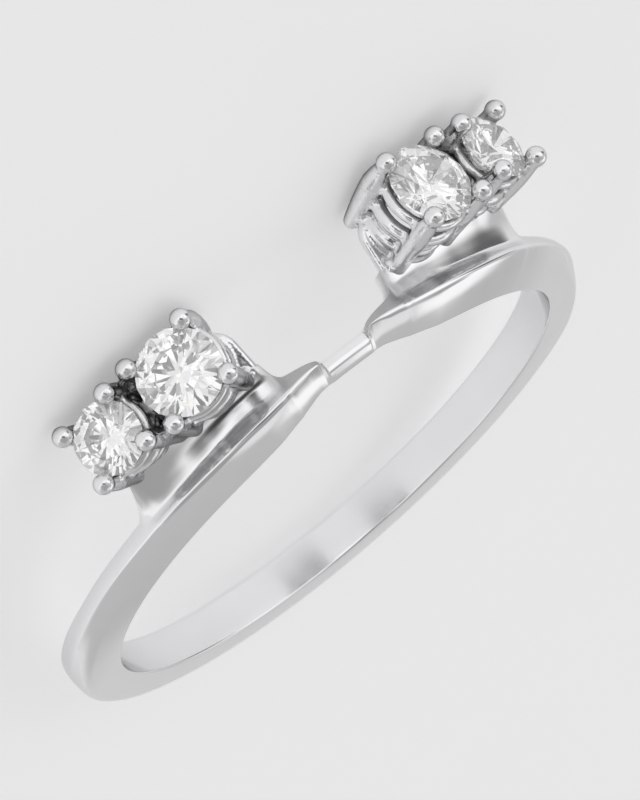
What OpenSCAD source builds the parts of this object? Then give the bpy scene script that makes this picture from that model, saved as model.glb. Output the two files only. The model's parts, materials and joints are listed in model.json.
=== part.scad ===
// Ring guard enhancer: a slim polished shank whose two shoulders end in leaf tips joined by a thin
// bridge bar. Behind each shoulder a straight deck carries a pair of four-prong basket settings,
// a larger round stone next to the gap and a smaller one outside it. The gap takes the head of the
// ring that the guard is worn with.
//
// Shapes are made in the ring's own axes: Y is the finger's axis, Z goes through the bridge bar
// and the origin is the centre of the finger hole. The finished ring is then laid on its side.

/* [Finger] */
// Diameter of the finger hole
finger_d = 17; // [16:0.25:19]

/* [Shank] */
// Width of the shank along the finger
shank_w = 1.3; // [1.2:0.05:1.5]
// Thickness of the shank from the finger hole to its crown
shank_t = 1.5; // [1.4:0.05:1.6]
// Rounding of the two edges of the crown
crown_round = 0.36; // [0.3:0.02:0.42]
// How far the crown's edges lie below its middle
crown_dome = 0.06; // [0.02:0.01:0.1]

/* [Deck] */
// Angle from the top of the ring at which the deck lies closest to the finger
deck_tilt = 21.9; // [21:0.1:23]
// Height of the deck's face above the finger hole at that angle
deck_h = 0.98; // [0.9:0.02:1.1]
// Thickness of the deck
deck_t = 0.3; // [0.25:0.01:0.35]
// How far the deck leans, rising from its front edge to its back
deck_lean = 15; // [13:0.5:16]
// Y of the deck's front edge, behind the shoulder
deck_front = 1.25; // [1.2:0.05:1.35]
// Y of the deck's back edge
deck_back = 3.25; // [3.1:0.05:3.4]

/* [Large settings] */
// Diameter of each large stone
large_d = 2.73; // [2.5:0.01:2.85]
// Angle of each large setting from the top of the ring
large_angle = 24.4; // [24:0.1:25]

/* [Small settings] */
// Diameter of each small stone
small_d = 2.3; // [2.1:0.01:2.35]
// Angle of each small setting from the top of the ring
small_angle = 38; // [37.8:0.1:38.4]

/* [Prongs] */
// Y of the stones' centres
stone_y = 2.39; // [2.3:0.01:2.45]
// Height of the prong tips above the deck
prong_h = 2.66; // [2.5:0.02:2.8]
// How far the prongs' feet reach below the deck's face
foot_sink = 0.19; // [0.1:0.01:0.25]
// Diameter of a prong
prong_d = 0.54; // [0.48:0.01:0.58]
// Diameter of a prong's ball tip
tip_d = 0.66; // [0.6:0.01:0.7]
// Distance that a stone's girdle lies below the prong tips
girdle_drop = 0.3; // [0.25:0.01:0.35]
// Gap between a stone and its seat
seat_gap = 0.03; // [0.02:0.01:0.04]

/* [Hidden] */

finger_r = finger_d / 2;
crown_r = finger_r + shank_t;
core_r = finger_r - 0.3;
half_w = shank_w / 2;
deck_dist = finger_r + deck_h;

// Curve quality of round metal and of the finger hole
fine = 32;
bore_fn = 120;

// Height above the finger hole of the flare where it runs in under the deck's face, at an angle
// from the top of the ring
flare_inset = 0.03;
function flare_at(angle) = (deck_dist - flare_inset) / cos(angle - deck_tilt) - finger_r;

// Each row is one section across the shoulder, at an angle from the top of the ring. Y values run
// along the finger, H values are heights above the finger hole.
// front: Y of the front edge at the hole. ridge: the bright line along the shoulder. crease: the
// foot of the ridge's back. valley: the bottom of the hollow before the deck. flare: the back
// edge. under_h: the height of the back edge's underside. heel: Y of the back face at the hole.
//   angle  front  ridge_y ridge_h crease_y crease_h valley_y valley_h flare_y flare_h       under_h heel
shoulder = [
    [0,    -0.17,  0.06,   0.50,   0.20,    0.51,    0.33,    0.51,    0.46,   0.50,         0.35,   0.50],
    [5.2,  -0.17,  0.06,   0.50,   0.20,    0.51,    0.33,    0.51,    0.46,   0.50,         0.35,   0.50],
    [6.1,  -0.16,  0.39,   0.86,   0.45,    0.84,    0.50,    0.83,    0.56,   0.82,         0.45,   0.54],
    [8,    -0.17,  0.36,   0.94,   0.50,    0.90,    0.56,    0.89,    0.64,   0.88,         0.45,   0.58],
    [10,   -0.23,  0.29,   1.01,   0.54,    0.94,    0.62,    0.92,    0.70,   0.90,         0.42,   0.62],
    [12.6, -0.33,  0.22,   1.09,   0.55,    1.00,    0.66,    0.97,    0.78,   0.94,         0.38,   0.65],
    [13.5, -0.36,  0.20,   1.12,   0.55,    0.97,    0.72,    0.94,    0.92,   0.93,         0.38,   0.65],
    [14,   -0.39,  0.19,   1.13,   0.55,    0.94,    0.86,    0.90,    1.40,   flare_at(14), 0.80,   0.65],
    [18,   -0.50,  0.13,   1.22,   0.53,    0.91,    0.95,    0.88,    1.40,   flare_at(18), 0.60,   0.65],
    [22,   -0.59,  0.08,   1.29,   0.52,    0.92,    0.95,    0.89,    1.40,   flare_at(22), 0.45,   0.65],
    [30,   -0.64,  0.02,   1.40,   0.46,    1.01,    0.90,    0.98,    1.40,   flare_at(30), 0.42,   0.65],
    [38,   -0.65,  0.00,   1.45,   0.37,    1.18,    0.84,    1.18,    1.40,   flare_at(38), 0.60,   0.65],
    [44.5, -0.65,  0.00,   1.46,   0.31,    1.28,    0.78,    1.32,    1.38,   flare_at(44), 0.90,   0.65],
    [46,   -0.65,  0.00,   1.46,   0.31,    1.29,    0.72,    1.32,    1.14,   1.48,         0.90,   0.65],
    [48,   -0.65,  0.00,   1.45,   0.30,    1.31,    0.60,    1.28,    0.84,   1.24,         0.80,   0.65],
    [51,   -0.65,  0.00,   1.44,   0.28,    1.33,    0.46,    1.23,    0.60,   1.08,         0.70,   0.65],
    [60,   -0.65,  0.00,   1.43,   0.28,    1.34,    0.44,    1.25,    0.60,   1.08,         0.70,   0.65]
];
function column(index) = [for (row = shoulder) [row[0], row[index]]];
front_y = column(1);
ridge_y = column(2);
ridge_h = column(3);
crease_y = column(4);
crease_h = column(5);
valley_y = column(6);
valley_h = column(7);
flare_y = column(8);
flare_h = column(9);
under_h = column(10);
heel_y = column(11);

// The ridged shoulder fades into the plain shank between these two angles
fade_from = 50;
fade_to = 76;
function smooth(t) = t * t * (3 - 2 * t);
function fade(angle) = smooth(max(0, min(1, (angle - fade_from) / (fade_to - fade_from))));
function mix(a, b, t) = a * (1 - t) + b * t;

// Fullness of the front face, softness of the ridge and roundness of the hollow
face_bulge = 0.04;
ridge_soft = 0.06;
hollow_round = 0.12;

// A section of the ridged shoulder as points of Y and radius, from the front edge round to the heel
function shoulder_section(angle) =
    let (
        front = [lookup(angle, front_y), finger_r],
        ridge = [lookup(angle, ridge_y), finger_r + lookup(angle, ridge_h)],
        crease = [lookup(angle, crease_y), finger_r + lookup(angle, crease_h)],
        valley = [lookup(angle, valley_y), finger_r + lookup(angle, valley_h)],
        flare = [lookup(angle, flare_y), finger_r + lookup(angle, flare_h)],
        under_r = finger_r + lookup(angle, under_h),
        heel = lookup(angle, heel_y),
        face = ridge - front,
        bulge = face_bulge * [-face[1], face[0]] / norm(face)
    )
    [
        [mix(front[0], (front - face)[0], 0.15), core_r],
        mix(front, ridge, 0.4) + bulge,
        mix(front, ridge, 0.75) + bulge,
        ridge + ridge_soft * [-1, -0.7],
        ridge,
        ridge + ridge_soft * [1, -0.5],
        crease,
        mix(crease, valley, 0.5) - [hollow_round * norm(valley - crease), 0],
        valley,
        mix(valley, flare, 0.5) + hollow_round * norm(flare - valley) * [1, -1],
        flare,
        [flare[0], under_r],
        [mix(heel, flare[0], 0.3), under_r - 0.05],
        [heel, under_r - 0.15],
        [heel, core_r]
    ];

// Half the width of the crown's level middle
crown_flat = 0.14;

// A point of the crown's rounded edge, turned up from the side face
function crown_edge(side, turn) = [
    side * (half_w - crown_round + crown_round * cos(turn)),
    crown_r - crown_dome - crown_round + crown_round * sin(turn)
];

// The section of the plain shank, with as many points as the shoulder's
shank_section = [
    [-half_w, core_r],
    for (turn = [0:30:90]) crown_edge(-1, turn),
    [-crown_flat, crown_r],
    [0, crown_r],
    [crown_flat, crown_r],
    for (turn = [90:-30:0]) crown_edge(1, turn),
    [half_w, finger_r + shank_t * 0.4],
    [half_w, finger_r + shank_t * 0.15],
    [half_w, core_r]
];

function section(angle) =
    let (ridged = shoulder_section(angle), t = fade(angle))
    [for (i = [0:len(shank_section) - 1]) mix(ridged[i], shank_section[i], t)];

// Angles of the sections on one side, closer together at the leaf tip and at the deck's ends
half_angles = [
    for (a = [0:2.6:5.2]) a,
    5.6, 6.1, 7, 8, 9, 10, 11.4, 12.6, 13.5, 14,
    for (a = [16:3:43]) a,
    44.5, 46, 47, 48, 49.5, 51, 53,
    for (a = [56:4:76]) a,
    for (a = [80:5:175]) a
];
last = len(half_angles) - 1;
angles = [
    for (i = [last:-1:1]) -half_angles[i],
    for (a = half_angles) a,
    180
];

function place(point, angle) = [point[1] * sin(angle), point[0], point[1] * cos(angle)];

// The closed ring of sections, before the finger hole is cut
module ring_body() {
    sections = [for (a = angles) [for (p = section(abs(a))) place(p, a)]];
    n = len(shank_section);
    count = len(angles);
    polyhedron(
        points = [for (s = sections) each s],
        faces = [
            for (i = [0:count - 1], j = [0:n - 1])
                let (a = i * n, b = ((i + 1) % count) * n, k = (j + 1) % n)
                each [[a + j, b + k, b + j], [a + j, a + k, b + k]]
        ],
        convexity = 8
    );
}

// A straight rod with ball ends
module rod(from, to, from_d, rod_d, to_d) {
    way = to - from;
    translate(from) {
        sphere(d = from_d, $fn = fine);
        rotate([0, acos(way[2] / norm(way)), atan2(way[1], way[0])])
            cylinder(d = rod_d, h = norm(way), $fn = fine);
    }
    translate(to) sphere(d = to_d, $fn = fine);
}

module wire_ring(radius, wire_d) {
    rotate_extrude($fn = 2 * fine) translate([radius, 0]) circle(d = wire_d, $fn = fine);
}

// Moves a setting or stone to its place: Z becomes its own axis and the origin its prong tips. The
// side is -1 for the left and 1 for the right, as the laid ring is seen from the settings' end.
module at_setting(side, angle) {
    tip_r = deck_dist / cos(angle - deck_tilt) + prong_h;
    rotate([0, -side * angle, 0]) translate([0, stone_y, tip_r]) children();
}

// How far the prong tips and the prong feet lie outside the stone's edge
tip_out = 0.19;
foot_out = 0.06;
// The rings of a basket: how far the wire's middle lies outside the stone's edge, its height above
// the deck's face and its diameter. The seat ring lies close under the stone, then come the rail,
// the lower rail and the base ring.
seat_out = -0.1;
seat_up = 1.88;
seat_d = 0.34;
rail_out = -0.17;
rail_up = 1.12;
rail_d = 0.46;
lower_out = -0.25;
lower_up = 0.45;
lower_d = 0.36;
base_out = -0.31;
base_up = 0.02;
base_d = 0.46;

// One basket: four prongs and the rings that join them
module basket(stone_d) {
    stone_r = stone_d / 2;
    for (turn = [45:90:315]) {
        out = [cos(turn), sin(turn), 0];
        rod((stone_r + foot_out) * out - [0, 0, prong_h + foot_sink], (stone_r + tip_out) * out,
            prong_d, prong_d, tip_d);
    }
    translate([0, 0, seat_up - prong_h]) wire_ring(stone_r + seat_out, seat_d);
    translate([0, 0, rail_up - prong_h]) wire_ring(stone_r + rail_out, rail_d);
    translate([0, 0, lower_up - prong_h]) wire_ring(stone_r + lower_out, lower_d);
    translate([0, 0, base_up - prong_h]) wire_ring(stone_r + base_out, base_d);
}

// Proportions of a round brilliant, as shares of its diameter
table_share = 0.56;
crown_share = 0.145;
girdle_share = 0.03;
pavilion_share = 0.43;
star_share = 0.5;
lower_share = 0.2;

// The round space that a stone and its gap take out of the prongs and rails
module seat(stone_d) {
    r = stone_d / 2 + seat_gap;
    g = girdle_share * stone_d / 2 + seat_gap;
    translate([0, 0, -girdle_drop])
        rotate_extrude($fn = 2 * fine)
            polygon([
                [0, -pavilion_share * stone_d - seat_gap],
                [r, -g],
                [r, g],
                [table_share * r + seat_gap, crown_share * stone_d + seat_gap],
                [0, crown_share * stone_d + seat_gap]
            ]);
}

// The straight deck that joins the feet of both baskets, open below each stone
deck_inner = -1.18;
deck_outer = 4.07;
deck_round = 0.8;
module deck() {
    length = deck_outer - deck_inner;
    depth = deck_back - deck_front;
    rotate([0, deck_tilt, 0])
        translate([deck_inner, deck_front, deck_dist])
            rotate([deck_lean, 0, 0])
                translate([0, 0, -deck_t])
                    linear_extrude(deck_t)
                        union() {
                            square([length, depth - deck_round]);
                            translate([deck_round, 0]) square([length - 2 * deck_round, depth]);
                            for (x = [deck_round, length - deck_round])
                                translate([x, depth - deck_round])
                                    circle(r = deck_round, $fn = fine);
                        }
}

// The hole in the deck below a stone, a little narrower than the base ring
culet_lip = 0.08;
module culet_hole(stone_d) {
    translate([0, 0, -prong_h - 1.5])
        cylinder(r = stone_d / 2 + base_out - base_d / 2 - culet_lip, h = 2.1, $fn = fine);
}

// Deck and both baskets of one side
module settings(side) {
    difference() {
        union() {
            if (side < 0) deck();
            else mirror([1, 0, 0]) deck();
            at_setting(side, large_angle) basket(large_d);
            at_setting(side, small_angle) basket(small_d);
        }
        at_setting(side, large_angle) {
            seat(large_d);
            culet_hole(large_d);
        }
        at_setting(side, small_angle) {
            seat(small_d);
            culet_hole(small_d);
        }
    }
}

// How the ring rests: the outer feet of the small baskets and the back of the shank on the floor
foot_angle = small_angle;
foot_from_axis = (small_d / 2 + foot_out) * cos(45);
foot_r = deck_dist / cos(small_angle - deck_tilt) - foot_sink;
foot_y = stone_y + foot_from_axis;
foot_z = foot_r * cos(foot_angle) - foot_from_axis * sin(foot_angle);
edge_y = half_w - crown_round;
edge_z = -(crown_r - crown_dome - crown_round);
edge_run = [foot_y - edge_y, foot_z - edge_z];
foot_ball = prong_d / 2;
rest_tilt = atan2(edge_run[0], edge_run[1]) + asin((foot_ball - crown_round) / norm(edge_run));
rest_z = foot_y * cos(rest_tilt) - foot_z * sin(rest_tilt) + foot_ball;

// The ring's reach along the floor, from the highest prong tip to the bottom of the shank
large_tip = (large_d / 2 + tip_out) * cos(45);
tip_r = deck_dist / cos(large_angle - deck_tilt) + prong_h;
tip_z = tip_r * cos(large_angle) + large_tip * sin(large_angle);
reach_up = tip_z * cos(rest_tilt) + (stone_y + large_tip) * sin(rest_tilt) + tip_d / 2;
reach_down = crown_r * cos(rest_tilt) + crown_flat * sin(rest_tilt);
rest_y = (reach_up - reach_down) / 2;

module laid() {
    translate([0, rest_y, rest_z])
        rotate([90 - rest_tilt, 0, 0])
            rotate([0, 0, 180]) children();
}

// A round brilliant about its own axis, with its girdle at the height of the seat's
module brilliant(d) {
    r = d / 2;
    table_r = table_share * r;
    table_z = crown_share * d;
    g = girdle_share * d / 2;
    culet_z = -pavilion_share * d;
    crown_slope = (table_z - g) / (r - table_r);
    pavilion_slope = (-g - culet_z) / r;
    star_r = mix(table_r * cos(22.5), r, star_share);
    star_z = table_z - (star_r * cos(22.5) - table_r) * crown_slope;
    lower_r = lower_share * r;
    lower_z = culet_z + lower_r * cos(22.5) * pavilion_slope;
    function ring(radius, z, from, step) = [
        for (a = [from:step:from + 359]) [radius * cos(a), radius * sin(a), z]
    ];
    table = 0;
    star = 8;
    upper = 16;
    lower = 32;
    junction = 48;
    culet = 56;
    points = concat(
        ring(table_r, table_z, 0, 45), ring(star_r, star_z, 22.5, 45),
        ring(r, g, 0, 22.5), ring(r, -g, 0, 22.5),
        ring(lower_r, lower_z, 22.5, 45), [[0, 0, culet_z]]
    );
    faces = [
        [for (k = [7:-1:0]) table + k],
        for (k = [0:7])
            let (next = (k + 1) % 8, last = (k + 7) % 8)
            each [
                [table + k, table + next, star + k],
                [table + k, star + k, upper + 2 * k, star + last],
                [star + k, upper + 2 * k + 1, upper + 2 * k],
                [star + k, upper + 2 * next, upper + 2 * k + 1],
                [junction + k, lower + 2 * k, lower + 2 * k + 1],
                [junction + k, lower + 2 * k + 1, lower + 2 * next],
                [culet, junction + last, lower + 2 * k, junction + k]
            ],
        for (k = [0:15])
            let (next = (k + 1) % 16)
            [upper + k, upper + next, lower + next, lower + k]
    ];
    translate([0, 0, -girdle_drop]) polyhedron(points = points, faces = faces, convexity = 2);
}

module mounting() {
    color("gainsboro") laid() difference() {
        union() {
            ring_body();
            settings(-1);
            settings(1);
        }
        translate([0, -5, 0]) rotate([-90, 0, 0]) cylinder(r = finger_r, h = 12, $fn = bore_fn);
    }
}

module large_stone(side) {
    color("aliceblue") laid() at_setting(side, large_angle) brilliant(large_d);
}

module small_stone(side) {
    color("aliceblue") laid() at_setting(side, small_angle) brilliant(small_d);
}

mounting();
large_stone(-1);  // large_stone_left
large_stone(1);  // large_stone_right
small_stone(-1);  // small_stone_left
small_stone(1);  // small_stone_right
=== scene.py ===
import json
from math import asin, atan2, cos, pi, radians, sin, tan

import bmesh
import bpy
from bpy.props import FloatProperty, FloatVectorProperty, PointerProperty
from mathutils import Matrix, Vector

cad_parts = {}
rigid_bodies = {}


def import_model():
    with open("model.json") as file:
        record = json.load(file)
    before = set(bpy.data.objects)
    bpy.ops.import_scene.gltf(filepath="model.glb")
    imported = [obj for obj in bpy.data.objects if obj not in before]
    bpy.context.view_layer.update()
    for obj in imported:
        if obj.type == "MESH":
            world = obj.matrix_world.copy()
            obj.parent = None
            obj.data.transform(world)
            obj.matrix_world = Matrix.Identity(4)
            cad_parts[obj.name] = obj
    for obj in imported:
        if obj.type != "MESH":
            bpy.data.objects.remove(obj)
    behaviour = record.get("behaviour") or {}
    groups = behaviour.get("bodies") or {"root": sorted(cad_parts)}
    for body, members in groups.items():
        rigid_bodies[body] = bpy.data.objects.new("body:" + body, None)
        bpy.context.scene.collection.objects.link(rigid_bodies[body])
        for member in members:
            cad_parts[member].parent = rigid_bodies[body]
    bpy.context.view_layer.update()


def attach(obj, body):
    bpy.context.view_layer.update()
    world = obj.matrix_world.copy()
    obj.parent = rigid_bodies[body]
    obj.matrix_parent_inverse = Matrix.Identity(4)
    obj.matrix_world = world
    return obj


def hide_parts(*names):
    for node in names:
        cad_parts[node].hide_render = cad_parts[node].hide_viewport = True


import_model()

bl_info = {
    "name": "Ring guard",
    "version": (1, 0, 0),
    "blender": (4, 5, 0),
    "location": "View3D > Sidebar > Ring guard",
    "description": "Models a ring guard with two pairs of prong-set stones, and its studio",
    "category": "Object",
}

MM = 0.001


class GuardSizes(bpy.types.PropertyGroup):
    """Sizes of the metal and the stones."""

    finger_d: FloatProperty(
        name="Finger hole", description="Diameter of the finger hole", default=17 * MM, unit="LENGTH"
    )
    shank_w: FloatProperty(
        name="Shank width", description="Width of the shank along the finger",
        default=1.3 * MM, unit="LENGTH",
    )
    shank_t: FloatProperty(
        name="Shank thickness", description="From the finger hole to the crown of the shank",
        default=1.5 * MM, unit="LENGTH",
    )
    crown_round: FloatProperty(
        name="Crown rounding", description="Rounding of the crown's two edges",
        default=0.36 * MM, unit="LENGTH",
    )
    edge_round: FloatProperty(
        name="Edge rounding", description="Rounding of the shank's edges at the finger hole",
        default=0.07 * MM, unit="LENGTH",
    )
    deck_tilt: FloatProperty(
        name="Deck angle",
        description="Angle from the top at which the deck lies closest to the finger",
        default=radians(21.9), subtype="ANGLE",
    )
    deck_h: FloatProperty(
        name="Deck height", description="Height of the deck's front edge above the finger hole",
        default=0.98 * MM, unit="LENGTH",
    )
    deck_t: FloatProperty(
        name="Deck thickness", description="Thickness of the deck", default=0.3 * MM, unit="LENGTH"
    )
    deck_lean: FloatProperty(
        name="Deck lean", description="How far the deck rises towards its back edge",
        default=radians(15), subtype="ANGLE",
    )
    deck_front: FloatProperty(
        name="Deck front", description="Place of the deck's front edge along the finger",
        default=1.25 * MM, unit="LENGTH",
    )
    deck_back: FloatProperty(
        name="Deck back", description="Place of the deck's back edge along the finger",
        default=3.25 * MM, unit="LENGTH",
    )
    deck_inner: FloatProperty(
        name="Deck inner end", description="Place of the deck's end next to the gap",
        default=-1.18 * MM, unit="LENGTH",
    )
    deck_outer: FloatProperty(
        name="Deck outer end", description="Place of the deck's end away from the gap",
        default=4.07 * MM, unit="LENGTH",
    )
    deck_round: FloatProperty(
        name="Deck corners", description="Rounding of the deck's two back corners",
        default=0.8 * MM, unit="LENGTH",
    )
    large_d: FloatProperty(
        name="Large stones", description="Diameter of the stones next to the gap",
        default=2.73 * MM, unit="LENGTH",
    )
    large_angle: FloatProperty(
        name="Large angle", description="Angle of the large settings from the top",
        default=radians(24.4), subtype="ANGLE",
    )
    small_d: FloatProperty(
        name="Small stones", description="Diameter of the outer stones", default=2.3 * MM, unit="LENGTH"
    )
    small_angle: FloatProperty(
        name="Small angle", description="Angle of the small settings from the top",
        default=radians(38), subtype="ANGLE",
    )
    stone_y: FloatProperty(
        name="Stone place", description="Place of the stones' centres along the finger",
        default=2.39 * MM, unit="LENGTH",
    )
    prong_h: FloatProperty(
        name="Prong height", description="Height of the prong tips above the deck",
        default=2.66 * MM, unit="LENGTH",
    )
    foot_sink: FloatProperty(
        name="Prong feet", description="How far the prongs' feet reach below the deck",
        default=0.19 * MM, unit="LENGTH",
    )
    prong_d: FloatProperty(
        name="Prong diameter", description="Diameter of a prong", default=0.54 * MM, unit="LENGTH"
    )
    prong_top: FloatProperty(
        name="Prong shoulder", description="Diameter of a prong below its ball tip",
        default=0.64 * MM, unit="LENGTH",
    )
    wide: FloatProperty(
        name="Wide prongs", description="How much thicker the inner back prongs are", default=1.32
    )
    tip_d: FloatProperty(
        name="Ball tip", description="Diameter of a prong's ball tip", default=0.66 * MM, unit="LENGTH"
    )
    rail_d: FloatProperty(
        name="Rail wire", description="Diameter of the rails' wire", default=0.46 * MM, unit="LENGTH"
    )


class GuardFinish(bpy.types.PropertyGroup):
    """Colours and polish of the metal and the stones."""

    metal: FloatVectorProperty(
        name="Metal", description="Colour of the polished white metal",
        default=(0.9, 0.9, 0.91), size=3, subtype="COLOR",
    )
    polish: FloatProperty(
        name="Polish", description="Roughness of the polished band", default=0.13, subtype="FACTOR"
    )
    cast: FloatProperty(
        name="Cast polish", description="Roughness of the cast settings at the prongs' tips",
        default=0.07, subtype="FACTOR",
    )
    stone: FloatVectorProperty(
        name="Stone", description="Colour of the clear stones",
        default=(1.0, 1.0, 1.0), size=3, subtype="COLOR",
    )
    # Painted shade: share of the metal's colour left in tight hollows, and where other metal is near.
    hollows: FloatProperty(
        name="Hollows", description="How much of the metal's colour is left in tight hollows",
        default=0.3, subtype="FACTOR",
    )
    # Painted fire: share of coloured noise in the stones' base colour.
    fire: FloatProperty(
        name="Fire", description="Strength of the stones' coloured fire", default=0.12, subtype="FACTOR"
    )
    rim: FloatProperty(
        name="Rim", description="Share of the light that the metal mirrors at a grazing angle",
        default=0.45, subtype="FACTOR",
    )
    # Painted glow: the stones emit this much white light.
    painted_glow: FloatProperty(
        name="Brilliance", description="Light that the cut stones give back from all around",
        default=0.05,
    )
    stone_ior: FloatProperty(
        name="Stone refraction", description="Refractive index of the stones", default=2.42
    )


class GuardStage(bpy.types.PropertyGroup):
    """The floor, the light and the camera."""

    floor: FloatVectorProperty(
        name="Floor", description="Colour of the pale floor",
        default=(0.86, 0.86, 0.865), size=3, subtype="COLOR",
    )
    lit: FloatProperty(
        name="Floor glow", description="Light that comes through the floor from below", default=0.3
    )
    sky: FloatProperty(
        name="Surroundings", description="Brightness of the soft surroundings", default=0.53
    )
    haze: FloatProperty(
        name="Haze", description="Brightness of the surroundings just above the floor", default=0.78
    )
    low: FloatProperty(
        name="Low light", description="Brightness of the soft light low in front", default=1.05
    )
    right: FloatProperty(
        name="Right light", description="Brightness of the low soft light on the right", default=0.95
    )
    box: FloatProperty(
        name="Soft box", description="Brightness of the soft box at the back left", default=1.05
    )
    high: FloatProperty(
        name="Top light", description="Brightness of the small soft light overhead", default=0.82
    )
    left: FloatProperty(
        name="Left light", description="Brightness of the low soft light on the front left", default=1.1
    )
    dim: FloatProperty(
        name="Dim side", description="Brightness of the surroundings high on the right", default=0.36
    )
    card: FloatProperty(
        name="Dark card", description="Brightness of the dark card on the left", default=0.12
    )
    lens: FloatProperty(
        name="Lens opening", description="Brightness of the opening for the camera", default=0.03
    )
    distance: FloatProperty(
        name="Camera distance", description="Distance from the ring to the camera",
        default=400 * MM, unit="LENGTH",
    )


# Where the ring lies.

# How far the middle of a prong's tip and foot stand outside the stone's edge.
TIP_OUT = 0.19 * MM
FOOT_OUT = 0.06 * MM
# The laid ring touches the floor and the box with the shank's crown: how much lower its edges are
# than its middle, and half the width of its flat middle.
EDGE_DROP = 0.06 * MM
FLAT_HALF = 0.14 * MM


def tip_reach(diameter):
    return diameter / 2 + TIP_OUT


def foot_reach(diameter):
    return diameter / 2 + FOOT_OUT


def deck_distance(sizes):
    return sizes.finger_d / 2 + sizes.deck_h


def deck_radius(sizes, angle):
    """Distance of the deck's front face from the finger's axis, at an angle from the top."""
    return deck_distance(sizes) / cos(angle - sizes.deck_tilt)


def laid(sizes):
    """The turn and move that lay the ring on its side, on two prong feet and the shank's edge."""
    from_axis = foot_reach(sizes.small_d) * cos(pi / 4)
    foot_r = deck_radius(sizes, sizes.small_angle) - sizes.foot_sink
    foot = Vector((
        sizes.stone_y + from_axis,
        foot_r * cos(sizes.small_angle) - from_axis * sin(sizes.small_angle),
    ))
    crown_r = sizes.finger_d / 2 + sizes.shank_t
    edge = Vector((
        sizes.shank_w / 2 - sizes.crown_round,
        -(crown_r - EDGE_DROP - sizes.crown_round),
    ))
    run = foot - edge
    ball = sizes.prong_d / 2
    tilt = atan2(run.x, run.y) + asin((ball - sizes.crown_round) / run.length)
    rest_z = foot.x * cos(tilt) - foot.y * sin(tilt) + ball
    corner = tip_reach(sizes.large_d) * cos(pi / 4)
    tip_r = deck_radius(sizes, sizes.large_angle) + sizes.prong_h
    tip_z = tip_r * cos(sizes.large_angle) + corner * sin(sizes.large_angle)
    up = tip_z * cos(tilt) + (sizes.stone_y + corner) * sin(tilt) + sizes.tip_d / 2
    down = crown_r * cos(tilt) + FLAT_HALF * sin(tilt)
    return Matrix((
        (-1, 0, 0, 0),
        (0, -sin(tilt), -cos(tilt), (up - down) / 2),
        (0, -cos(tilt), sin(tilt), rest_z),
        (0, 0, 0, 1),
    ))


# Millimetres. Each row is one section across the band, at an angle from the top of the ring: Y
# along the finger, heights above the finger hole. The ridge is the bright line along the shoulder,
# the crease is the foot of its back, the valley is the hollow before the deck, the flare is the
# back edge, under is that edge's lower side and the heel is the back face at the finger hole.
COLUMNS = (
    "angle", "front", "ridge_y", "ridge_h", "crease_y", "crease_h", "valley_y", "valley_h",
    "lift_y", "lift_h", "flare_y", "flare_h", "under_h", "heel",
)
SHOULDER = [
    (0, -0.17, 0.06, 0.50, 0.20, 0.51, 0.33, 0.51, 0.40, 0.51, 0.46, 0.50, 0.35, 0.50),
    (5.0, -0.17, 0.06, 0.50, 0.20, 0.51, 0.33, 0.51, 0.40, 0.51, 0.46, 0.50, 0.35, 0.50),
    (5.5, -0.17, 0.24, 0.66, 0.33, 0.66, 0.41, 0.66, 0.45, 0.66, 0.49, 0.65, 0.38, 0.52),
    (6.3, -0.16, 0.38, 0.84, 0.44, 0.83, 0.49, 0.82, 0.53, 0.81, 0.56, 0.80, 0.44, 0.54),
    (8, -0.17, 0.36, 0.94, 0.50, 0.905, 0.54, 0.90, 0.58, 0.895, 0.64, 0.88, 0.45, 0.58),
    (10, -0.23, 0.29, 1.01, 0.55, 0.94, 0.60, 0.93, 0.64, 0.925, 0.70, 0.91, 0.42, 0.62),
    (12.6, -0.33, 0.22, 1.09, 0.56, 1.00, 0.62, 0.98, 0.69, 0.97, 0.78, 0.95, 0.38, 0.65),
    (13.4, -0.36, 0.20, 1.13, 0.56, 0.97, 0.66, 0.95, 0.78, 0.94, 0.90, 0.93, 0.38, 0.65),
    (14, -0.39, 0.19, 1.15, 0.56, 0.94, 0.70, 0.92, 0.88, 0.92, 1.12, 0.93, 0.45, 0.65),
    (14.6, -0.41, 0.18, 1.16, 0.56, 0.92, 0.76, 0.935, 1.02, 0.95, 1.56, 1.03, 0.50, 0.65),
    (15.8, -0.44, 0.16, 1.19, 0.55, 0.915, 0.79, 0.93, 1.10, 0.95, 1.60, 1.17, 0.50, 0.65),
    (18, -0.50, 0.13, 1.23, 0.54, 0.915, 0.80, 0.93, 1.12, 0.95, 1.60, 1.19, 0.50, 0.65),
    (22, -0.59, 0.08, 1.30, 0.53, 0.925, 0.80, 0.94, 1.12, 0.965, 1.60, 1.20, 0.45, 0.65),
    (30, -0.64, 0.02, 1.41, 0.47, 1.01, 0.75, 1.06, 1.10, 1.13, 1.60, 1.35, 0.42, 0.65),
    (38, -0.65, 0.00, 1.46, 0.38, 1.19, 0.68, 1.27, 1.04, 1.375, 1.60, 1.64, 0.60, 0.65),
    (44.5, -0.65, 0.00, 1.47, 0.32, 1.29, 0.64, 1.39, 0.96, 1.54, 1.52, 1.92, 0.90, 0.65),
    (46, -0.65, 0.00, 1.47, 0.32, 1.29, 0.60, 1.37, 0.86, 1.50, 1.22, 1.72, 0.90, 0.65),
    (48, -0.65, 0.00, 1.44, 0.34, 1.35, 0.52, 1.33, 0.68, 1.36, 0.88, 1.40, 0.80, 0.65),
    (51, -0.65, 0.00, 1.43, 0.29, 1.34, 0.43, 1.27, 0.52, 1.21, 0.60, 1.13, 0.70, 0.65),
    (60, -0.65, 0.00, 1.43, 0.28, 1.35, 0.40, 1.28, 0.50, 1.20, 0.60, 1.08, 0.70, 0.65),
    (80, -0.65, 0.00, 1.43, 0.28, 1.35, 0.40, 1.28, 0.50, 1.20, 0.60, 1.08, 0.70, 0.65),
]
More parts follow.
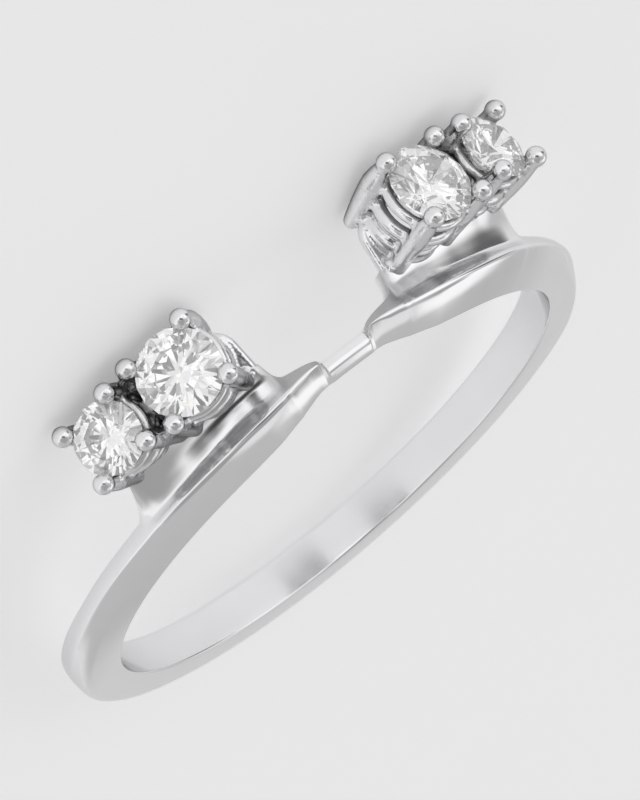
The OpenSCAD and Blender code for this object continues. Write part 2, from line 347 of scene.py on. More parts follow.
# How far up the front face it starts to lean back, and by how much: (angle, share, millimetres).
BROW = [
    (5, 0.5, 0.04), (8, 0.46, 0.07), (13, 0.52, 0.08),
    (18, 0.62, 0.08), (26, 0.66, 0.07), (60, 0.68, 0.06),
]

# Rounding of the ridge: (angle, millimetres).
RIDGE = [(48, 0.2), (58, 0.3), (72, 0.5)]
# Rounding of the other corners, in millimetres.
BROW_ROUND = 20
CREASE_ROUND = 0.3
HOLLOW_ROUND = 3
FLARE_ROUND = 0.08
UNDER_ROUND = 0.1
HEEL_ROUND = 0.15
# How far below the flare's lower side the back face starts, in millimetres.
HEEL_DROP = 0.15


def flowing(knots, at):
    """A smooth value through the knots that never swings past them."""
    if at <= knots[0][0]:
        return knots[0][1]
    if at >= knots[-1][0]:
        return knots[-1][1]
    i = max(k for k in range(len(knots) - 1) if knots[k][0] <= at)

    def rise(k):
        return (knots[k + 1][1] - knots[k][1]) / (knots[k + 1][0] - knots[k][0])

    def slope(k):
        if k == 0 or k == len(knots) - 1:
            return 0.0
        a, b = rise(k - 1), rise(k)
        return 0.0 if a * b <= 0 else 2 * a * b / (a + b)

    (x0, y0), (x1, y1) = knots[i], knots[i + 1]
    span = x1 - x0
    t = (at - x0) / span
    return (
        (1 + 2 * t) * (1 - t) ** 2 * y0
        + t * (1 - t) ** 2 * span * slope(i)
        + t * t * (3 - 2 * t) * y1
        + t * t * (t - 1) * span * slope(i + 1)
    )


def smooth(t):
    """Eases from 0 to 1."""
    t = max(0.0, min(1.0, t))
    return t * t * (3 - 2 * t)


def shoulder_corners(sizes, angle):
    """Corners of the ridged section as (Y, radius, rounding), from the front edge to the heel."""
    hole = sizes.finger_d / 2
    at = {
        name: flowing([(row[0], row[k]) for row in SHOULDER], angle) * MM
        for k, name in enumerate(COLUMNS[1:], 1)
    }
    front = Vector((at["front"], hole))
    ridge = Vector((at["ridge_y"], hole + at["ridge_h"]))
    face = ridge - front
    share, out = (flowing([(row[0], row[k]) for row in BROW], angle) for k in (1, 2))
    brow = front.lerp(ridge, share) + Vector((-face.y, face.x)) / face.length * out * MM
    under = hole + at["under_h"]
    return [
        (front.x, front.y, sizes.edge_round),
        (brow.x, brow.y, BROW_ROUND * MM),
        (ridge.x, ridge.y, flowing(RIDGE, angle) * MM),
        (at["crease_y"], hole + at["crease_h"], CREASE_ROUND * MM),
        (at["valley_y"], hole + at["valley_h"], HOLLOW_ROUND * MM),
        (at["lift_y"], hole + at["lift_h"], HOLLOW_ROUND * MM),
        (at["flare_y"], hole + at["flare_h"], FLARE_ROUND * MM),
        (at["flare_y"], under, UNDER_ROUND * MM),
        (at["heel"], under - HEEL_DROP * MM, HEEL_ROUND * MM),
        (at["heel"], hole, sizes.edge_round),
    ]


# The plain shank: how much lower the corners of its crown are than its middle, how much narrower it
# is at the crown's back edge, and the rounding of its crown and back, in millimetres.
CROWN_DROP = 0.07
BACK_TAPER = 0.04
CROWN_ROUND = 0.5
CROWN_BACK_ROUND = 0.3
BACK_ROUND = 3
FACE_ROUND = 0.05


def shank_corners(sizes):
    """Corners of the plain shank, as many as the shoulder's."""
    hole = sizes.finger_d / 2
    half = sizes.shank_w / 2
    crown = hole + sizes.shank_t
    brow = crown - CROWN_DROP * MM
    return [
        (-half, hole, sizes.edge_round),
        (-half, brow, sizes.crown_round),
        (0.0, crown, CROWN_ROUND * MM),
        (half * 0.2, crown - 0.003 * MM, CROWN_BACK_ROUND * MM),
        (half * 0.4, crown - 0.01 * MM, CROWN_BACK_ROUND * MM),
        (half - BACK_TAPER * MM, brow, sizes.crown_round),
        (half, hole + sizes.shank_t * 0.6, BACK_ROUND * MM),
        (half, hole + sizes.shank_t * 0.4, FACE_ROUND * MM),
        (half, hole + sizes.shank_t * 0.2, FACE_ROUND * MM),
        (half, hole, sizes.edge_round),
    ]


# Points of each rounding, how near to straight a corner is still rounded, the most of a side that a
# rounding takes, and how near the hole's roundings the points lie that hold its wall flat.
ARC = 7
NEARLY_STRAIGHT = 0.02
MOST_OF_SIDE = 0.48
HOLD = 0.06


def rounded(corners):
    """The closed outline through the corners, each one rounded with the same number of points."""
    outline = []
    count = len(corners)
    for i, (y, r, rounding) in enumerate(corners):
        here = Vector((y, r))
        before = Vector(corners[i - 1][:2]) - here
        after = Vector(corners[(i + 1) % count][:2]) - here
        turn = before.angle(after)
        reach = min(
            rounding / max(tan(turn / 2), NEARLY_STRAIGHT),
            MOST_OF_SIDE * before.length, MOST_OF_SIDE * after.length,
        )
        start = here + before.normalized() * reach
        end = here + after.normalized() * reach
        for k in range(ARC):
            t = k / (ARC - 1)
            outline.append(start.lerp(here, t).lerp(here.lerp(end, t), t))
    last, first = outline[-1], outline[0]
    return outline + [last.lerp(first, HOLD), last.lerp(first, 1 - HOLD)]


# Angles from the top between which the ridged shoulder turns into the plain shank.
FADE_FROM, FADE_TO = 62, 106


def band_outline(sizes, angle):
    """The band's outline in (Y, radius) at an angle in degrees from the top."""
    t = smooth((abs(angle) - FADE_FROM) / (FADE_TO - FADE_FROM))
    ridged = shoulder_corners(sizes, abs(angle))
    plain = shank_corners(sizes)
    mixed = [
        (y0 * (1 - t) + y1 * t, r0 * (1 - t) + r1 * t, round0 ** (1 - t) * round1 ** t)
        for (y0, r0, round0), (y1, r1, round1) in zip(ridged, plain)
    ]
    return rounded(mixed)


def steps(start, end, step):
    """Even steps of about the given size, without the end."""
    count = max(1, round((end - start) / step))
    return [start + (end - start) * k / count for k in range(count)]


# Stretches of the band from its top to its bottom, and how far apart their sections are, in degrees.
STRETCHES = (
    (0, 5, 1), (5, 6.6, 0.08), (6.6, 13.4, 0.3), (13.4, 15.8, 0.1),
    (15.8, 44, 0.7), (44, 52, 0.25), (52, 110, 1), (110, 180, 2),
)


def band_angles():
    """Angles of the band's sections, close together where its shape changes quickly."""
    half = [angle for stretch in STRETCHES for angle in steps(*stretch)]
    return half + [180.0] + [360 - a for a in reversed(half[1:])]


# Modelling helpers.


def deselect():
    """Leaves nothing selected, in object mode."""
    if bpy.context.object and bpy.context.object.mode != "OBJECT":
        bpy.ops.object.mode_set(mode="OBJECT")
    bpy.ops.object.select_all(action="DESELECT")


def pick(*objects):
    """Selects these objects alone, with the last one active."""
    deselect()
    for obj in objects:
        obj.select_set(True)
    bpy.context.view_layer.objects.active = objects[-1]
    return objects[-1]


def edit(mode="VERT"):
    """Goes into edit mode."""
    bpy.ops.object.mode_set(mode="EDIT")
    bpy.ops.mesh.select_mode(type=mode)


def leave():
    """Leaves edit mode."""
    bpy.ops.object.mode_set(mode="OBJECT")


def mark(obj, kind, test):
    """Selects, in edit mode, the vertices, edges or faces that pass the test."""
    bm = bmesh.from_edit_mesh(obj.data)
    for item in getattr(bm, kind):
        item.select_set(False)
    for item in getattr(bm, kind):
        if test(item):
            item.select_set(True)
    bm.select_flush_mode()
    bmesh.update_edit_mesh(obj.data)


def settle(obj, matrix=None):
    """Puts the object's place into its mesh."""
    pick(obj)
    if matrix is not None:
        obj.matrix_world = matrix @ obj.matrix_world
        bpy.context.view_layer.update()
    bpy.ops.object.transform_apply(location=True, rotation=True, scale=True)
    return obj


def use(obj, kind, **settings):
    """Adds a modifier, sets it and applies it."""
    pick(obj)
    bpy.ops.object.modifier_add(type=kind)
    modifier = obj.modifiers[-1]
    for name, value in settings.items():
        setattr(modifier, name, value)
    bpy.ops.object.modifier_apply(modifier=modifier.name)
    return obj


def outward(obj):
    """Turns all faces outwards."""
    pick(obj)
    edit()
    bpy.ops.mesh.select_all(action="SELECT")
    bpy.ops.mesh.normals_make_consistent(inside=False)
    leave()


def twin(obj, name):
    """A copy with its own mesh."""
    copy = obj.copy()
    copy.data = obj.data.copy()
    copy.name = name
    bpy.context.collection.objects.link(copy)
    return copy


def joined(name, objects):
    """Joins the objects into one."""
    pick(*objects)
    bpy.ops.object.join()
    whole = bpy.context.object
    whole.name = name
    whole.data.name = name
    return whole


# Grain of the melted skin, and how far it swells and shrinks back to leave fillets, in millimetres.
VOXEL = 0.042
SOLDER = 0.1


def soldered(obj):
    """Melts crossing parts into one skin, with a small fillet where they meet."""
    settle(obj, Matrix.Scale(1 / MM, 4))
    use(obj, "REMESH", mode="VOXEL", voxel_size=VOXEL)
    use(obj, "DISPLACE", strength=SOLDER, mid_level=0.0)
    use(obj, "REMESH", mode="VOXEL", voxel_size=VOXEL)
    use(obj, "DISPLACE", strength=-SOLDER, mid_level=0.0)
    use(obj, "SMOOTH", factor=0.5, iterations=4)
    return settle(obj, Matrix.Scale(MM, 4))


def finished(obj, material, *nodes, slot, angle=40):
    """Gives a piece its material and shading, its body and the nodes it stands for."""
    pick(obj)
    bpy.ops.object.shade_smooth_by_angle(angle=radians(angle))
    obj.data.materials.clear()
    obj.data.materials.append(material)
    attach(obj, "root")
    if nodes:
        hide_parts(*nodes)
    return obj


# Materials.


class Value:
    """A shader socket that can be used in Python arithmetic."""

    def __init__(self, tree, socket):
        self.tree = tree
        self.socket = socket

    def maths(self, operation, *values):
        return self.tree.add("ShaderNodeMath", {"operation": operation}, dict(enumerate(values)))

    def __add__(self, other):
        return self.maths("ADD", self, other)

    __radd__ = __add__

    def __sub__(self, other):
        return self.maths("SUBTRACT", self, other)

    def __rsub__(self, other):
        return self.maths("SUBTRACT", other, self)

    def __mul__(self, other):
        return self.maths("MULTIPLY", self, other)

    __rmul__ = __mul__

    def clamp(self):
        return self.tree.add("ShaderNodeClamp", {}, {"Value": self})


class Material:
    """The node tree of a material, or of the world."""

    def __init__(self, name):
        self.material = bpy.data.materials.new(name)
        self.material.use_nodes = True
        self.take(self.material.node_tree, "ShaderNodeOutputMaterial")

    @classmethod
    def of(cls, world):
        made = cls.__new__(cls)
        made.take(world.node_tree, "ShaderNodeOutputWorld")
        return made

    def take(self, tree, output):
        self.nodes = tree.nodes
        self.links = tree.links
        self.nodes.clear()
        self.output = self.nodes.new(output)

    def add(self, kind, settings, sockets, out=0):
        node = self.nodes.new(kind)
        for name, value in settings.items():
            setattr(node, name, value)
        for name, value in sockets.items():
            if isinstance(value, Value):
                self.links.new(value.socket, node.inputs[name])
            elif value is not None:
                node.inputs[name].default_value = value
        return Value(self, node.outputs[out])

    def place(self):
        return self.add("ShaderNodeTexCoord", {}, {}, "Object")

    def noise(self, scale, detail=3.0, rough=0.5, stretch=(1, 1, 1)):
        spot = self.add("ShaderNodeMapping", {}, {"Vector": self.place(), "Scale": stretch})
        return self.add("ShaderNodeTexNoise", {}, {
            "Vector": spot, "Scale": scale, "Detail": detail, "Roughness": rough,
        })

    def bump(self, height, strength, distance, normal=None):
        return self.add("ShaderNodeBump", {}, {
            "Height": height, "Strength": strength, "Distance": distance, "Normal": normal,
        })

    def shade(self, surface):
        self.links.new(surface.socket, self.output.inputs["Surface"])
        return self.material


def tinted(m, colour, amount, mask):
    """The colour, a little darker or lighter by the mask."""
    low = tuple(c * (1 - amount) for c in colour) + (1,)
    high = tuple(min(1.0, c * (1 + amount)) for c in colour) + (1,)
    return m.add("ShaderNodeMix", {"data_type": "RGBA"}, {0: mask, 6: low, 7: high}, 2)


def metal_colour(m, finish, speckle, hollow_shade):
    """White metal, with painted shade that darkens its colour in the hollows."""
    bright = tinted(m, finish.metal, amount=0.03, mask=speckle)
    # Painted shade: the darkened colour that the hollow mask mixes in.
    dull = tuple(c * finish.hollows for c in finish.metal) + (1,)
    return m.add("ShaderNodeMix", {"data_type": "RGBA"}, {0: hollow_shade, 6: bright, 7: dull}, 2)


# The mask for painted shade in tight creases, from the mesh's pointiness.
def hollows(m, start, end):
    """1 in tight inside corners, 0 on open surfaces and edges."""
    point = m.add("ShaderNodeNewGeometry", {}, {}, "Pointiness")
    return m.add("ShaderNodeMapRange", {"interpolation_type": "SMOOTHSTEP"}, {
        "Value": point, "From Min": start, "From Max": end,
    })


# How much darker, by painted shade, and rougher the polished metal is where the band is marked dull,
# how much its smears and hairlines change its roughness, and its brightness at grazing angles.
SHADE_DARK, DULL_MATT = 0.6, 0.4
SMEAR_MATT, HAIR_MATT = 0.05, 0.04
GRAZING = 0.8


def polished_metal(finish):
    """Bright white metal with the faint waves and hairlines that a polishing wheel leaves."""
    m = Material("polished_metal")
    waves = m.noise(500, detail=2)
    hairs = m.noise(2500, detail=4, rough=0.6, stretch=(1, 1, 6))
    smears = m.noise(1400, detail=3, rough=0.6)
    dull = m.add("ShaderNodeAttribute", {"attribute_name": "dull"}, {}, "Fac")
    # Painted shade: the colour darkens in tight creases and where the band is marked dull.
    hollow_shade = (hollows(m, start=0.48, end=0.42) + SHADE_DARK * dull).clamp()
    bumps = m.bump(waves, strength=0.06, distance=0.02 * MM)
    bumps = m.bump(hairs, strength=0.05, distance=0.004 * MM, normal=bumps)
    roughness = (
        finish.polish + SMEAR_MATT * (smears - 0.5) + HAIR_MATT * (hairs - 0.5) + DULL_MATT * dull
    )
    return m.shade(m.add("ShaderNodeBsdfPrincipled", {}, {
        "Base Color": metal_colour(m, finish, smears, hollow_shade),
        "Metallic": 1.0,
        "Specular Tint": (GRAZING, GRAZING, GRAZING, 1),
        "Roughness": roughness,
        "Normal": bumps,
    }))


# How much rougher the cast metal is by its grain, low down, in its pits and in its hollows, where
# its pits begin and how steeply they deepen, and how near other metal makes a hollow (millimetres).
GRAIN_MATT, LOW_MATT, PIT_MATT, HOLLOW_MATT = 0.03, 0.1, 0.3, 0.15
PITS_FROM, PITS_STEEP = 0.6, 4
HOLLOW_REACH = 1.3


def cast_metal(finish):
    """The same metal where it was cast: softly uneven and pitted low down, polished at the tips."""
    m = Material("cast_metal")
    low = m.add("ShaderNodeAttribute", {"attribute_name": "low"}, {}, "Fac")
    lumps = m.noise(1700, detail=3, rough=0.55)
    grain = m.noise(9000, detail=3, rough=0.6)
    pits = (m.noise(5200, detail=2, rough=0.5) - PITS_FROM).clamp() * PITS_STEEP * low
    # Painted shade: ambient occlusion darkens the colour where other metal is near, and makes the metal
    # rougher there.
    open_air = m.add("ShaderNodeAmbientOcclusion", {"samples": 6}, {
        "Distance": HOLLOW_REACH * MM,
    }, "AO")
    hollow_shade = m.add("ShaderNodeMapRange", {"interpolation_type": "SMOOTHSTEP"}, {
        "Value": open_air, "From Min": 0.62, "From Max": 0.22,
    })
    bumps = m.bump(lumps, strength=0.35, distance=0.02 * MM)
    bumps = m.bump(low * lumps, strength=0.6, distance=0.05 * MM, normal=bumps)
    bumps = m.bump(grain, strength=0.08, distance=0.003 * MM, normal=bumps)
    bumps = m.bump(1 - pits, strength=0.3, distance=0.01 * MM, normal=bumps)
    matt = finish.cast + GRAIN_MATT * (grain - 0.5) + LOW_MATT * low
    return m.shade(m.add("ShaderNodeBsdfPrincipled", {}, {
        "Base Color": metal_colour(m, finish, grain, hollow_shade),
        "Metallic": 1.0,
        "Specular Tint": (finish.rim, finish.rim, finish.rim, 1),
        "Roughness": matt + PIT_MATT * pits + HOLLOW_MATT * hollow_shade,
        "Normal": bumps,
    }))


def clear_stone(finish):
    """A colourless cut stone with a trace of painted fire and a faint painted glow, and the faintest
    polishing lines on its facets.
    """
    m = Material("clear_stone")
    lines = m.noise(4000, detail=2, rough=0.5, stretch=(1, 1, 4))
    # Painted fire: coloured noise mixed into the base colour stands in for dispersed light.
    fire = m.add("ShaderNodeTexNoise", {}, {
        "Vector": m.place(), "Scale": 2600.0, "Detail": 1.0,
    }, "Color")
    colour = m.add("ShaderNodeMix", {"data_type": "RGBA"}, {
        0: finish.fire, 6: (*finish.stone, 1), 7: fire,
    }, 2)
    return m.shade(m.add("ShaderNodeBsdfPrincipled", {}, {
        "Base Color": colour,
        "Roughness": 0.004 * lines,
        "IOR": finish.stone_ior,
        "Transmission Weight": 1.0,
        # Painted glow: a faint white emission brightens the stone.
        "Emission Color": (*finish.stone, 1),
        "Emission Strength": finish.painted_glow,
        "Normal": m.bump(lines, strength=0.01, distance=0.001 * MM),
    }))


# Where the hollow lies, counted in the shoulder's corners: from behind the ridge to the flare, and the
# groove at the foot of the ridge. The groove gets less roughness and less painted shade than the hollow
# at the tip.
HOLLOW_FROM, GROOVE_TO, HOLLOW_TO = 2.8, 3.5, 7
GROOVE_DULL_SHADE = 0.32
# Where the dull tip and groove fade in and out: (angle from the top, how many degrees it takes).
TIP_FADES = (5, 1.5), (13, 4)
GROOVE_FADES = (12, 4), (44, 6)


def between(angle, fades):
    """1 between the two fades and 0 outside them."""
    (start, rise), (end, fall) = fades
    return smooth((angle - start) / rise) * (1 - smooth((angle - end) / fall))


class RING_OT_band(bpy.types.Operator):
    """Model the band: shank, shoulders, leaf tips and bridge bar"""

    bl_idname = "ring.band"
    bl_label = "Band"

    def execute(self, context):
        sizes = context.scene.guard_sizes
        plain = rounded(shank_corners(sizes))
        angles = band_angles()
        deselect()
        bpy.ops.mesh.primitive_circle_add(vertices=len(plain), radius=sizes.shank_w / 2)
        band = bpy.context.object
        band.name = band.data.name = "band"
        for vertex, point in zip(band.data.vertices, plain):
            vertex.co = (0, point.x, point.y)
        edit()
        bpy.ops.mesh.select_all(action="SELECT")
        bpy.ops.mesh.spin(steps=len(angles), angle=2 * pi, center=(0, 0, 0), axis=(0, 1, 0))
        bpy.ops.mesh.select_all(action="SELECT")
        bpy.ops.mesh.remove_doubles(threshold=0.0005 * MM)
        leave()
        self.shape(band, sizes, plain, angles)
        settle(band, laid(sizes))
        outward(band)
        finished(band, MATERIALS["polished_metal"], "mounting", slot="polished_metal", angle=75)
        return {"FINISHED"}

    def shape(self, band, sizes, plain, angles):
        """Sets each spun section to the band's outline at its angle."""
        outlines = [band_outline(sizes, a if a <= 180 else a - 360) for a in angles]
        # Marks where the band gets a rougher finish and painted shade.
        dull_and_shaded_layer = band.data.attributes.new("dull", "FLOAT", "POINT")
        for vertex in band.data.vertices:
            x, y, z = vertex.co
            turn = atan2(x, z) % (2 * pi)
            step = round(turn / (2 * pi) * len(angles)) % len(angles)
            radius = (x * x + z * z) ** 0.5
            k = min(
                range(len(plain)),
                key=lambda i: (plain[i].x - y) ** 2 + (plain[i].y - radius) ** 2,
            )
            point = outlines[step][k]
            a = radians(angles[step])
            vertex.co = (point.y * sin(a), point.x, point.y * cos(a))
            from_top = min(angles[step], 360 - angles[step])
            dull_and_shaded_layer.data[vertex.index].value = self.dullness_and_shade(from_top, k / ARC)

    def dullness_and_shade(self, angle, place):
        """1 in the recess at the leaf's tip, which gets a rougher finish and painted shade, and 0 where
        it gets neither.
        """
        if not HOLLOW_FROM < place < HOLLOW_TO:
            return 0.0
        groove = GROOVE_DULL_SHADE * between(angle, GROOVE_FADES) if place < GROOVE_TO else 0.0
        return max(between(angle, TIP_FADES), groove)


# Sizes of the settings, in millimetres: how far inside the stone's edge the opening below it stays,
# the rounding of the deck's edges, the height above the deck up to which the casting is rough, the
# height that it takes from there to become bright, and what two ends of a level edge may differ by.
OPENING_IN = 0.62
DECK_EDGE = 0.12
ROUGH_TO, BRIGHT_AFTER = 0.5, 0.9
NEARLY_LEVEL = 0.0001
# Rings of a basket in millimetres: (beyond the stone's edge, above the deck, wire's radius). None
# stands for the rails' own wire.
RINGS = ((-0.17, 1.12, None), (-0.31, 0.02, None), (-0.25, 0.45, 0.18), (-0.10, 1.88, 0.17))


def baskets(sizes):
    """Stone diameter and angle of the two baskets on a deck."""
    return (sizes.large_d, sizes.large_angle), (sizes.small_d, sizes.small_angle)


class RING_OT_settings(bpy.types.Operator):
    """Model the decks and the four baskets of prongs and rails"""

    bl_idname = "ring.settings"
    bl_label = "Settings"

    def execute(self, context):
        sizes = context.scene.guard_sizes
        prong = self.prong(sizes, "prong", 1)
        wide = self.prong(sizes, "wide_prong", sizes.wide)
        for side, name in ((-1, "settings_left"), (1, "settings_right")):
            parts = [self.deck(sizes, side)]
            for diameter, angle in baskets(sizes):
                inner = 0 if side > 0 else 1
                prongs = [wide if k == inner and diameter == sizes.large_d else prong for k in range(4)]
                parts += self.basket(sizes, side, diameter, angle, prongs)
            whole = soldered(joined(name, parts))
            self.lowness(sizes, side, whole)
            settle(whole, laid(sizes))
            outward(whole)
            finished(whole, MATERIALS["cast_metal"], "mounting", slot="polished_metal")
        pick(prong, wide)
        bpy.ops.object.delete()
        return {"FINISHED"}

    def prong(self, sizes, name, swell):
        """One prong along Z: a rounded foot, a shaft that swells upwards, a neck and a ball tip."""
        length = self.prong_length(sizes)
        foot = sizes.prong_d / 2
        top = sizes.prong_top / 2
        outline = [(-foot * cos(a), foot * sin(a)) for a in (radians(k) for k in (12, 35, 60, 90))]
        outline += [
            (length * 0.3, foot * 1.04 * swell), (length * 0.5, top * 0.97 * swell),
            (length * 0.66, top * swell), (length * 0.78, top * (0.3 + 0.65 * swell)),
            (length * 0.88, top * (0.6 + 0.26 * swell)), (length, top * 0.7),
        ]
        deselect()
        bpy.ops.mesh.primitive_circle_add(
            vertices=32, radius=outline[0][1], fill_type="NGON", location=(0, 0, outline[0][0])
        )
        shaft = settle(bpy.context.object)
        edit("FACE")
        bpy.ops.mesh.select_all(action="SELECT")
        for (low, narrow), (high, wide) in zip(outline, outline[1:]):
            bpy.ops.mesh.extrude_region_move(TRANSFORM_OT_translate={"value": (0, 0, high - low)})
            grow = wide / narrow
            bpy.ops.transform.resize(value=(grow, grow, 1), center_override=(0, 0, high))
        leave()
        outward(shaft)
        deselect()
        bpy.ops.mesh.primitive_uv_sphere_add(
            segments=32, ring_count=20, radius=sizes.tip_d / 2, location=(0, 0, length)
        )
        return joined(name, [settle(bpy.context.object), shaft])

    def lowness(self, sizes, side, whole):
        """Marks each vertex by its height: 1 at the deck, 0 from the upper rails on."""
        up = Vector((side * sin(sizes.deck_tilt), 0, cos(sizes.deck_tilt)))
        low = whole.data.attributes.new("low", "FLOAT", "POINT")
        for vertex, value in zip(whole.data.vertices, low.data):
            height = vertex.co.dot(up) - deck_distance(sizes)
            value.value = 1 - smooth((height / MM - ROUGH_TO) / BRIGHT_AFTER)

    def prong_length(self, sizes):
        out = tip_reach(sizes.large_d) - foot_reach(sizes.large_d)
        return Vector((out, sizes.prong_h + sizes.foot_sink)).length

    def basket(self, sizes, side, diameter, angle, prongs):
        """Four prongs round a stone, with rails and a seat ring."""
        tip_r = deck_radius(sizes, angle) + sizes.prong_h
        spot = Matrix.Rotation(-side * angle, 4, "Y") @ Matrix.Translation((0, sizes.stone_y, tip_r))
        parts = []
        for k in range(4):
            turn = pi / 4 + k * pi / 2
            out = Vector((cos(turn), sin(turn), 0))
            start = out * foot_reach(diameter) - Vector((0, 0, sizes.prong_h + sizes.foot_sink))
            way = out * tip_reach(diameter) - start
            lean = way.to_track_quat("Z", "Y").to_matrix().to_4x4()
            parts.append(settle(twin(prongs[k], "prong_copy"), Matrix.Translation(start) @ lean))
        for reach, up, wire in RINGS:
            deselect()
            bpy.ops.mesh.primitive_torus_add(
                major_segments=64, minor_segments=24, major_radius=diameter / 2 + reach * MM,
                minor_radius=wire * MM if wire else sizes.rail_d / 2,
                location=(0, 0, up * MM - sizes.prong_h),
            )
            parts.append(settle(bpy.context.object))
        for part in parts:
            settle(part, spot)
        return parts

    def deck(self, sizes, side):
        """One leaning deck with rounded edges and the openings below its stones."""

        def level(edge, axis):
            return abs(edge.verts[0].co[axis] - edge.verts[1].co[axis]) < NEARLY_LEVEL * MM

        length = sizes.deck_outer - sizes.deck_inner
        depth = sizes.deck_back - sizes.deck_front
        deselect()
        bpy.ops.mesh.primitive_cube_add(size=1)
        deck = bpy.context.object
        deck.scale = (length, depth, sizes.deck_t)
        deck.location = (sizes.deck_inner + length / 2, depth / 2, -sizes.deck_t / 2)
        settle(deck)
        edit("EDGE")
        mark(deck, "edges", lambda e: level(e, 0) and all(v.co.y > depth * 0.9 for v in e.verts))
        bpy.ops.mesh.bevel(offset=sizes.deck_round, segments=10, affect="EDGES")
        mark(deck, "edges", lambda e: level(e, 2))
        bpy.ops.mesh.bevel(offset=DECK_EDGE * MM, segments=5, affect="EDGES")
        leave()
        for diameter, angle in baskets(sizes):
            self.hole(sizes, deck, diameter, angle)
        lean = Matrix.Rotation(sizes.deck_lean, 4, "X")
        away = Matrix.Translation((0, sizes.deck_front, deck_distance(sizes)))
        settle(deck, Matrix.Rotation(sizes.deck_tilt, 4, "Y") @ away @ lean)
        if side > 0:
            settle(deck, Matrix.Scale(-1, 4, (1, 0, 0)))
        return deck

    def hole(self, sizes, deck, diameter, angle):
        """Cuts the round opening below a stone."""
        reach = deck_distance(sizes) * tan(angle - sizes.deck_tilt)
        deselect()
        bpy.ops.mesh.primitive_cylinder_add(
            vertices=48, radius=diameter / 2 - OPENING_IN * MM, depth=3 * MM,
            location=(reach, (sizes.stone_y - sizes.deck_front) / cos(sizes.deck_lean), 0),
        )
        cutter = settle(bpy.context.object)
        use(deck, "BOOLEAN", object=cutter, operation="DIFFERENCE")
        pick(cutter)
        bpy.ops.object.delete()


class RING_OT_stones(bpy.types.Operator):
    """Give the four cut stones their material"""

    bl_idname = "ring.stones"
    bl_label = "Stones"

    def execute(self, context):
        for name in ("large_stone_left", "large_stone_right", "small_stone_left", "small_stone_right"):
            stone = bpy.data.objects[name]
            for slot in stone.material_slots:
                slot.material = MATERIALS["clear_stone"]
            if not stone.material_slots:
                raise RuntimeError(f"{name} has no material slot")
        return {"FINISHED"}


# Directions of the photograph in the ring's own axes: from the ring to the camera, and the picture's
# right and down.
TOWARDS = Vector((-0.30331, -0.22259, 0.92653))
RIGHT = Vector((0.75861, -0.64481, 0.09343))
DOWN = Vector((-0.57663, -0.73122, -0.36444))

# Soft lights and dark cards: brightness, azimuth from the front (-Y) towards +X, elevation, and the
# angles from its middle at which it ends and starts to fade, all in degrees.
PATCHES = (
    ("low", 5, -5, 60, 30),
    ("left", -54, 24, 28, 17),
    ("right", 76, -2, 42, 20),
    ("dim", 58, 42, 28, 12),
    ("dim", 78, 70, 28, 14),
    ("box", -120, 48, 24, 12),
    ("dim", -100, 56, 14, 5),
    ("high", -150, 77, 16, 6),
    ("dim", -66, 80, 13, 5),
    ("dim", 10, 62, 26, 12),
    ("card", 4, 34, 15, 6),
    ("card", -78, -2, 28, 12),
)
LENS_OUTER, LENS_INNER = 14, 5
# Elevations between which the surroundings fade into the haze above the floor.
HAZE_TOP, HAZE_FOOT = 26, 1


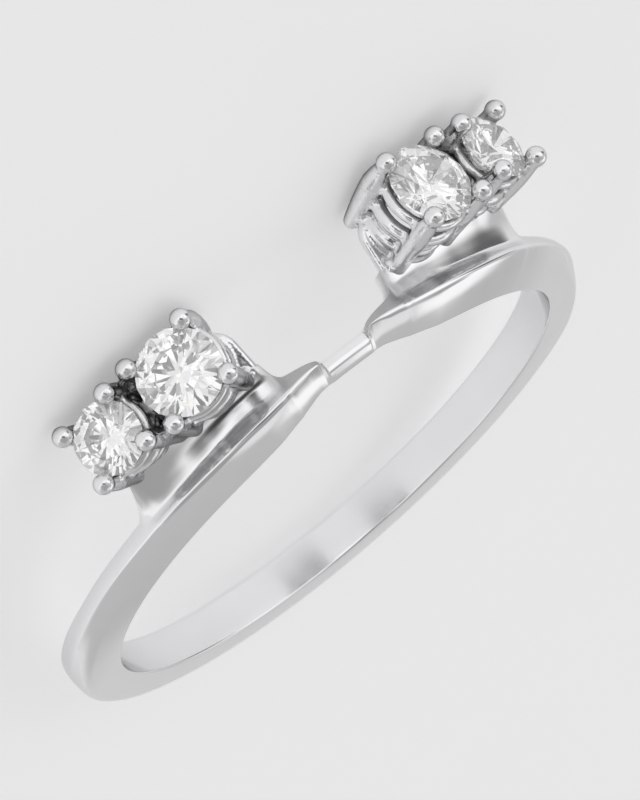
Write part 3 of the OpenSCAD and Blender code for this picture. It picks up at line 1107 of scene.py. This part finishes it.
class RING_OT_stage(bpy.types.Operator):
    """Set up the floor, the soft surroundings and the camera"""

    bl_idname = "ring.stage"
    bl_label = "Studio"

    def execute(self, context):
        sizes = context.scene.guard_sizes
        stage = context.scene.guard_stage
        self.floor(stage)
        self.sky(context, sizes, stage)
        self.camera(context, sizes, stage)
        return {"FINISHED"}

    def floor(self, stage):
        """A plain pale floor, lit a little from below."""
        deselect()
        bpy.ops.mesh.primitive_plane_add(size=4)
        floor = bpy.context.object
        floor.name = floor.data.name = "floor"
        m = Material("pale_floor")
        cloud = m.noise(60, detail=3)
        floor.data.materials.append(m.shade(m.add("ShaderNodeBsdfPrincipled", {}, {
            "Base Color": tinted(m, stage.floor, amount=0.01, mask=cloud),
            "Roughness": 0.6,
            "Emission Color": (1, 1, 1, 1),
            "Emission Strength": stage.lit,
        })))

    def sky(self, context, sizes, stage):
        """Soft light from all round, with soft boxes, a dark card and the opening for the camera."""
        world = bpy.data.worlds.new("studio")
        context.scene.world = world
        world.use_nodes = True
        m = Material.of(world)
        way = m.add("ShaderNodeTexCoord", {}, {}, "Generated")
        height = m.add("ShaderNodeSeparateXYZ", {}, {0: way}, "Z")
        haze = m.add("ShaderNodeMapRange", {"interpolation_type": "SMOOTHSTEP"}, {
            "Value": height, "From Min": sin(radians(HAZE_TOP)), "From Max": sin(radians(HAZE_FOOT)),
        })
        light = stage.sky * (1 - haze) + stage.haze * haze
        for name, azimuth, elevation, outer, inner in PATCHES:
            a, e = radians(azimuth), radians(elevation)
            direction = Vector((sin(a) * cos(e), -cos(a) * cos(e), sin(e)))
            patch = self.patch(m, way, direction, outer, inner)
            light = light * (1 - patch) + getattr(stage, name) * patch
        patch = self.patch(m, way, laid(sizes).to_3x3() @ TOWARDS, LENS_OUTER, LENS_INNER)
        light = light * (1 - patch) + stage.lens * patch
        back = m.add("ShaderNodeBackground", {}, {"Color": (1, 1, 1, 1), "Strength": light})
        m.links.new(back.socket, m.output.inputs["Surface"])
        context.scene.view_settings.view_transform = "Standard"

    def patch(self, m, way, direction, outer, inner):
        """A soft patch of sky: 1 within the inner angle from a direction, 0 beyond the outer one."""
        dot = {"operation": "DOT_PRODUCT"}
        near = m.add("ShaderNodeVectorMath", dot, {0: way, 1: direction}, "Value")
        return m.add("ShaderNodeMapRange", {"interpolation_type": "SMOOTHSTEP"}, {
            "Value": near, "From Min": cos(radians(outer)), "From Max": cos(radians(inner)),
        })

    def camera(self, context, sizes, stage):
        """The photograph's view: its direction to the ring, its roll and its framing."""
        turn = laid(sizes).to_3x3()
        right = turn @ RIGHT
        down = turn @ DOWN
        towards = turn @ TOWARDS
        frame_w, frame_h = 640, 800
        pixels_per_m = 32.984 / MM
        centre_x, centre_y = 323.22, 467.36
        centre = laid(sizes).translation
        place = (
            centre + towards * stage.distance
            - right * ((centre_x - frame_w / 2) / pixels_per_m)
            - down * ((centre_y - frame_h / 2) / pixels_per_m)
        )
        data = bpy.data.cameras.new("camera")
        camera = bpy.data.objects.new("camera", data)
        context.collection.objects.link(camera)
        sensor = 36
        data.sensor_width = sensor
        data.lens = sensor * stage.distance * pixels_per_m / frame_h
        data.clip_start, data.clip_end = 0.01, 10
        axes = Matrix((right, -down, towards)).transposed()
        camera.matrix_world = Matrix.Translation(place) @ axes.to_4x4()
        context.scene.camera = camera


class RING_PT_guard(bpy.types.Panel):
    """The ring guard's sizes and steps"""

    bl_idname = "RING_PT_guard"
    bl_label = "Ring guard"
    bl_space_type = "VIEW_3D"
    bl_region_type = "UI"
    bl_category = "Ring guard"

    def draw(self, context):
        for group in (context.scene.guard_sizes, context.scene.guard_finish, context.scene.guard_stage):
            column = self.layout.column()
            for name in type(group).__annotations__:
                column.prop(group, name)
        for step in STEPS:
            self.layout.operator(step.bl_idname)


STEPS = (RING_OT_band, RING_OT_settings, RING_OT_stones, RING_OT_stage)
CLASSES = (GuardSizes, GuardFinish, GuardStage, *STEPS, RING_PT_guard)
MATERIALS = {}


def register():
    for one in CLASSES:
        bpy.utils.register_class(one)
    bpy.types.Scene.guard_sizes = PointerProperty(type=GuardSizes)
    bpy.types.Scene.guard_finish = PointerProperty(type=GuardFinish)
    bpy.types.Scene.guard_stage = PointerProperty(type=GuardStage)


def unregister():
    for name in ("guard_sizes", "guard_finish", "guard_stage"):
        delattr(bpy.types.Scene, name)
    for one in reversed(CLASSES):
        bpy.utils.unregister_class(one)


def main():
    register()
    finish = bpy.context.scene.guard_finish
    MATERIALS["polished_metal"] = polished_metal(finish)
    MATERIALS["cast_metal"] = cast_metal(finish)
    MATERIALS["clear_stone"] = clear_stone(finish)
    bpy.ops.ring.band()
    bpy.ops.ring.settings()
    bpy.ops.ring.stones()
    bpy.ops.ring.stage()


if __name__ == "__main__":
    main()
